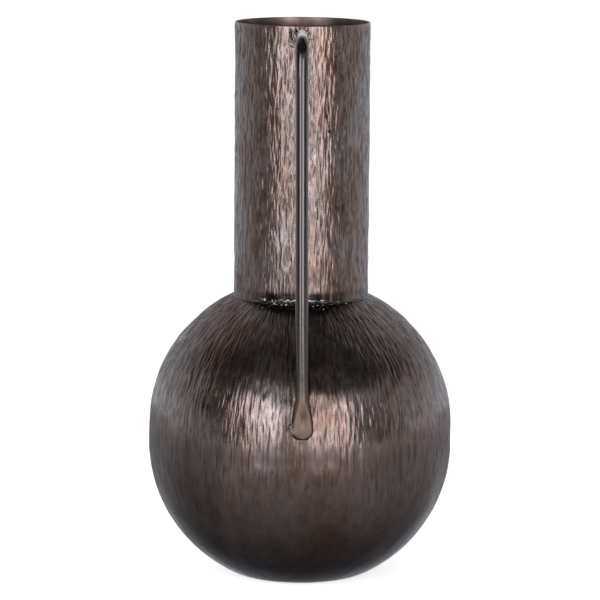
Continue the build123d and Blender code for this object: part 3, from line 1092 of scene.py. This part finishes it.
def seen_share(tree):
    """1 for rays that show the background: straight from the camera, mirrored or through glass."""
    path = add_node(tree, "ShaderNodeLightPath").outputs
    mirrored = add_node(tree, "ShaderNodeMath", {
        0: path["Is Glossy Ray"], 1: path["Is Transmission Ray"]}, operation="MAXIMUM")
    return add_node(tree, "ShaderNodeMath", {
        0: path["Is Camera Ray"], 1: mirrored.outputs[0]}, operation="MAXIMUM").outputs[0]


class URN_OT_stage(bpy.types.Operator):
    """Make the studio: pale floor, white surround, two softboxes, cards and the camera"""
    bl_idname = "urn.stage"
    bl_label = "Stage"
    SOFTBOX_DISTANCE = 1.4
    # softboxes: side, azimuth in degrees from the camera, width, height and colour
    SOFTBOXES = (
        ("left", -28.3, 0.84, 0.86, (0.83, 0.885, 0.94)),
        ("right", 20.3, 0.63, 0.79, (0.94, 0.97, 1.02)),
    )

    def execute(self, context):
        studio = context.scene.urn_studio
        self.make_floor(studio)
        self.make_world(context.scene)
        self.make_lights(studio)
        self.make_cards(studio)
        self.make_camera(context.scene, studio)
        context.scene.view_settings.view_transform = "Standard"
        return {"FINISHED"}

    def make_floor(self, studio):
        """A wide pale floor that shows white and keeps the shadow."""
        clear_selection()
        bpy.ops.mesh.primitive_plane_add(size=40)
        floor = bpy.context.active_object
        floor.name = "floor"
        material, tree, out = new_material("pale_floor")
        matte = add_node(tree, "ShaderNodeBsdfDiffuse", {"Color": studio.floor})
        # it glows only for rays that show the background, so it reads as white and lights nothing
        glow = add_node(tree, "ShaderNodeEmission", {"Color": WHITE, "Strength": 0.72})
        dark = add_node(tree, "ShaderNodeEmission", {"Color": WHITE, "Strength": 0.0})
        seen = add_node(tree, "ShaderNodeMixShader", {
            0: seen_share(tree), 1: dark.outputs[0], 2: glow.outputs[0]})
        both = add_node(tree, "ShaderNodeAddShader", {0: matte.outputs[0], 1: seen.outputs[0]})
        tree.links.new(both.outputs[0], out.inputs["Surface"])
        floor.data.materials.append(material)

    def make_world(self, scene):
        """White where it is seen or mirrored, and a plain grey light on the rest."""
        world = bpy.data.worlds.new("studio")
        scene.world = world
        world.use_nodes = True
        tree = world.node_tree
        tree.nodes.clear()
        out = tree.nodes.new("ShaderNodeOutputWorld")
        fill = add_node(tree, "ShaderNodeBackground", {"Color": WHITE, "Strength": 0.5})
        white = add_node(tree, "ShaderNodeBackground", {"Color": WHITE, "Strength": 1.0})
        mix = add_node(tree, "ShaderNodeMixShader", {
            0: seen_share(tree), 1: fill.outputs[0], 2: white.outputs[0]})
        tree.links.new(mix.outputs[0], out.inputs["Surface"])

    def make_lights(self, studio):
        """Softboxes left and right of the camera, standing on the floor."""
        for side, degrees, width, height, tint in self.SOFTBOXES:
            lamp = bpy.data.lights.new(f"softbox_{side}", "AREA")
            lamp.shape = "RECTANGLE"
            lamp.size, lamp.size_y = width, height
            lamp.energy = studio.softbox_power * width * height
            lamp.color = tint
            softbox = bpy.data.objects.new(lamp.name, lamp)
            turn = math.radians(degrees)
            towards = Vector((math.sin(turn), -math.cos(turn), 0))
            softbox.location = self.SOFTBOX_DISTANCE * towards + Vector((0, 0, height / 2 + 5 * MM))
            softbox.rotation_euler = (math.pi / 2, 0, turn)
            bpy.context.scene.collection.objects.link(softbox)

    def make_cards(self, studio):
        """Grey and dark cards that give the metal something to mirror besides white."""
        card("card_camera", (-10, 10), (3.45, 0.0), (3.45, 1.6), 0.15)
        card("card_front_left", (-52, 0), (1.7, 1.15), (1.25, 2.7), 0.2)
        card("card_front_right", (0, 52), (1.7, 1.15), (1.25, 2.7), 0.12)
        card("card_top_left", (-180, 0), (1.7, 2.7), (0.01, 2.7), 0.4)
        card("card_top_right", (0, 180), (1.7, 2.7), (0.01, 2.7), 0.12)
        card("flag_left_low", (-82, -60), (2.0, 0.0), (2.0, 0.4), 0.8)
        card("flag_left_inner", (-60, -34), (1.2, 0.0), (1.2, 0.36), 0.11)
        card("flag_left_high", (-82, -43), (2.0, 0.41), (2.0, 1.12), 0.05)
        card("flag_left_outer", (-98, -82), (2.0, 0.0), (2.0, 0.95), 0.9)
        card("flag_right", (39, 58), (2.0, 0.0), (2.0, 0.85), 0.3)
        card("flag_right_outer", (58, 73), (2.0, 0.0), (2.0, 0.85), 0.45)
        card("flag_upper_left", (-104, -40), (2.0, 1.15), (0.85, 2.2), 0.13)
        card("flag_upper_right", (40, 104), (2.0, 1.15), (0.85, 2.2), 0.13)
        for side, azimuths in (("left", (-145, -98)), ("right", (73, 145))):
            card(f"reflector_{side}_low", azimuths, (2.0, 0.0), (2.0, 0.35), 1.8, studio.reflector)
            card(f"reflector_{side}_high", azimuths, (2.0, 0.36), (2.0, 0.85), 1.25, studio.reflector)
        # painted shade: grey cards lying on the floor, seen only in reflections, stand for the floor's
        # shadow and falloff left, right and behind the vase
        floor_near, floor_far = (0.08, 3 * MM), (1.3, 3 * MM)
        card("floor_shade_card_left", (-130, -50), floor_near, floor_far, 0.85)
        card("floor_shade_card_right", (50, 130), floor_near, floor_far, 1.15)
        card("floor_shade_card_back", (130, 230), floor_near, floor_far, 0.5)

    def make_camera(self, scene, studio):
        """The photograph's camera."""
        data = bpy.data.cameras.new("camera")
        camera = bpy.data.objects.new("camera", data)
        scene.collection.objects.link(camera)
        data.sensor_fit = "HORIZONTAL"
        data.sensor_width = CAMERA_SENSOR_MM
        data.lens = studio.focal_pixels / FRAME_PIXELS * CAMERA_SENSOR_MM
        data.clip_end = 100
        camera.location = (studio.camera_aside, -studio.camera_distance, studio.camera_height)
        tilt = Matrix.Rotation(math.pi / 2 - studio.camera_pitch, 4, "X")
        camera.rotation_euler = (tilt @ Matrix.Rotation(studio.camera_roll, 4, "Z")).to_euler()
        scene.camera = camera


STEPS = (URN_OT_neck, URN_OT_bowls, URN_OT_neck_weld, URN_OT_handles, URN_OT_handle_welds, URN_OT_stage)


class URN_PT_panel(bpy.types.Panel):
    """Sidebar panel with the vase's settings and its steps"""
    bl_label = "Urn vase"
    bl_idname = "URN_PT_panel"
    bl_space_type = "VIEW_3D"
    bl_region_type = "UI"
    bl_category = "Urn vase"

    def draw(self, context):
        for group in (context.scene.urn_sizes, context.scene.urn_finish, context.scene.urn_studio):
            box = self.layout.box()
            for name in group.bl_rna.properties.keys():
                if name not in {"rna_type", "name"}:
                    box.prop(group, name)
        for step in STEPS:
            self.layout.operator(step.bl_idname)


GROUPS = (("urn_sizes", UrnSizes), ("urn_finish", UrnFinish), ("urn_studio", UrnStudio))


def register():
    """Make the settings, the steps and the panel known to Blender."""
    for name, group in GROUPS:
        bpy.utils.register_class(group)
        setattr(bpy.types.Scene, name, bpy.props.PointerProperty(type=group))
    for step in STEPS:
        bpy.utils.register_class(step)
    bpy.utils.register_class(URN_PT_panel)


def unregister():
    """Take them out again, in the opposite order."""
    bpy.utils.unregister_class(URN_PT_panel)
    for step in reversed(STEPS):
        bpy.utils.unregister_class(step)
    for name, group in reversed(GROUPS):
        delattr(bpy.types.Scene, name)
        bpy.utils.unregister_class(group)


def main():
    """Make the vase and its studio."""
    register()
    bpy.ops.urn.neck()
    bpy.ops.urn.bowls()
    bpy.ops.urn.neck_weld()
    bpy.ops.urn.handles()
    bpy.ops.urn.handle_welds()
    bpy.ops.urn.stage()


if __name__ == "__main__":
    main()
